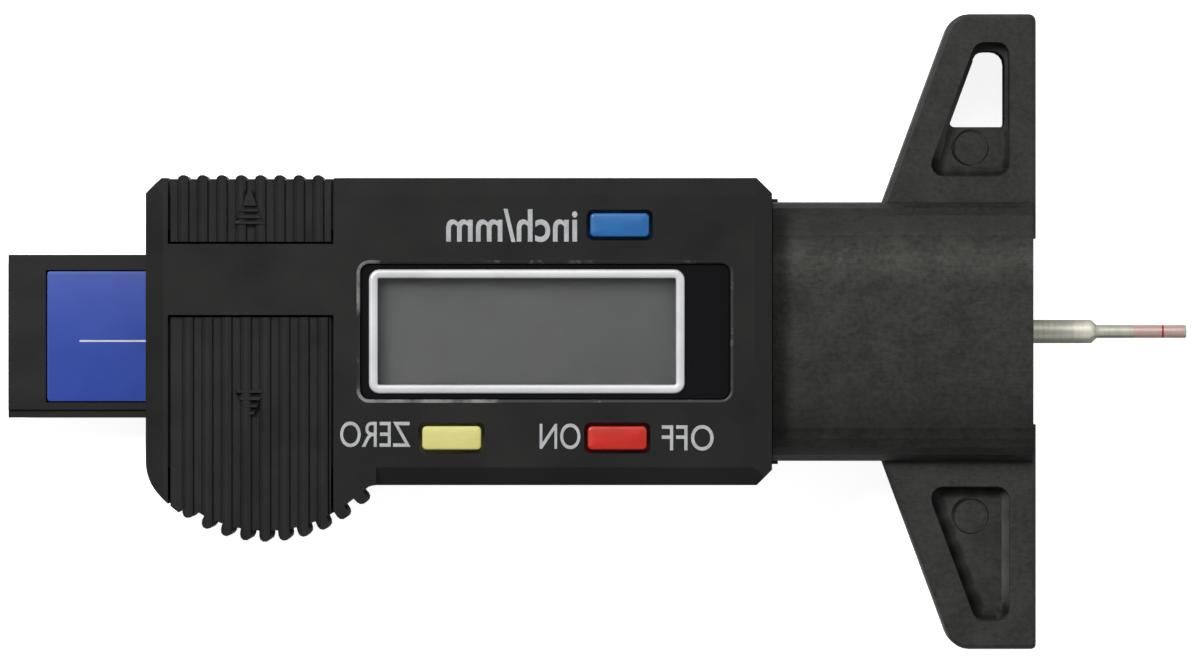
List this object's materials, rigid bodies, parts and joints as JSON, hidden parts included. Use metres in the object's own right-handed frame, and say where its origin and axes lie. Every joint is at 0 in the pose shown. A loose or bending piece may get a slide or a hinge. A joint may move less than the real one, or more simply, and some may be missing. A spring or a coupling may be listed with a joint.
{
  "type": "tire tread depth gauge",
  "caption": "Digital tread depth gauge: two-winged measuring foot, display case with push buttons and slide-off covers, and a through slide with a blue label and stepped steel probe.",
  "frame": {"origin": "centre of the footprint on the flat back, with the slide at its rest position", "axes": "+Z out of the display, +X towards the probe's tip, +Y up the display towards the wing with the lanyard hole"},
  "size_m": [0.1006, 0.054, 0.0154],
  "materials": {
    "foot": "matte glass-filled nylon",
    "case": "fine moulded texture",
    "window": "gloss black",
    "frame": "silver satin",
    "lens": "clear",
    "lcd": "grey liquid crystal cell, switched off",
    "holder": "white moulded",
    "rubber": "silicone",
    "board": "glass-fibre board with green solder mask",
    "epoxy": "black epoxy",
    "steel": "ground steel",
    "bronze": "phosphor bronze spring leaf",
    "label": "blue printed film",
    "button_blue": "satin",
    "button_red": "satin",
    "button_yellow": "satin"
  },
  "bodies": {
    "gauge": {"foot": "foot", "front_case": "case", "back_case": "case", "display_bezel": "window", "display_frame": "frame", "display_lens": "lens", "lcd_cell": "lcd", "lcd_holder": "holder", "upper_contact_strip": "rubber", "lower_contact_strip": "rubber", "circuit_board": "board", "chip_cap": "epoxy", "battery": "steel", "negative_contact": "bronze", "positive_contact": "bronze", "data_socket": "case", "data_contact_1": "bronze", "data_contact_2": "bronze", "data_contact_3": "bronze", "data_contact_4": "bronze", "unit_dome": "rubber", "power_dome": "rubber", "zero_dome": "rubber", "case_screw_1": "steel", "case_screw_2": "steel", "case_screw_3": "steel", "case_screw_4": "steel", "slide_gib": "bronze"},
    "slide": {"slide_bar": "case", "scale_strip": "board", "scale_label": "label", "probe": "steel"},
    "battery_lid": {"battery_cover": "case"},
    "port_lid": {"port_cover": "case"},
    "unit_key": {"unit_button": "button_blue"},
    "power_key": {"power_button": "button_red"},
    "zero_key": {"zero_button": "button_yellow"}
  },
  "joints": [
    {"name": "probe_travel", "type": "slide", "parent": "gauge", "child": "slide", "axis": [1, 0, 0], "range_m": [-0.013, 0.0124]},
    {"name": "battery_lid_travel", "type": "slide", "parent": "gauge", "child": "battery_lid", "axis": [0, -1, 0], "range_m": [0, 0.02]},
    {"name": "port_lid_travel", "type": "slide", "parent": "gauge", "child": "port_lid", "axis": [0, 1, 0], "range_m": [0, 0.008]},
    {"name": "unit_key_travel", "type": "slide", "parent": "gauge", "child": "unit_key", "axis": [0, 0, -1], "range_m": [0, 0.0005], "stiffness_N_per_m": 450, "deforming": ["unit_dome"]},
    {"name": "power_key_travel", "type": "slide", "parent": "gauge", "child": "power_key", "axis": [0, 0, -1], "range_m": [0, 0.0005], "stiffness_N_per_m": 450, "deforming": ["power_dome"]},
    {"name": "zero_key_travel", "type": "slide", "parent": "gauge", "child": "zero_key", "axis": [0, 0, -1], "range_m": [0, 0.0005], "stiffness_N_per_m": 450, "deforming": ["zero_dome"]}
  ]
}
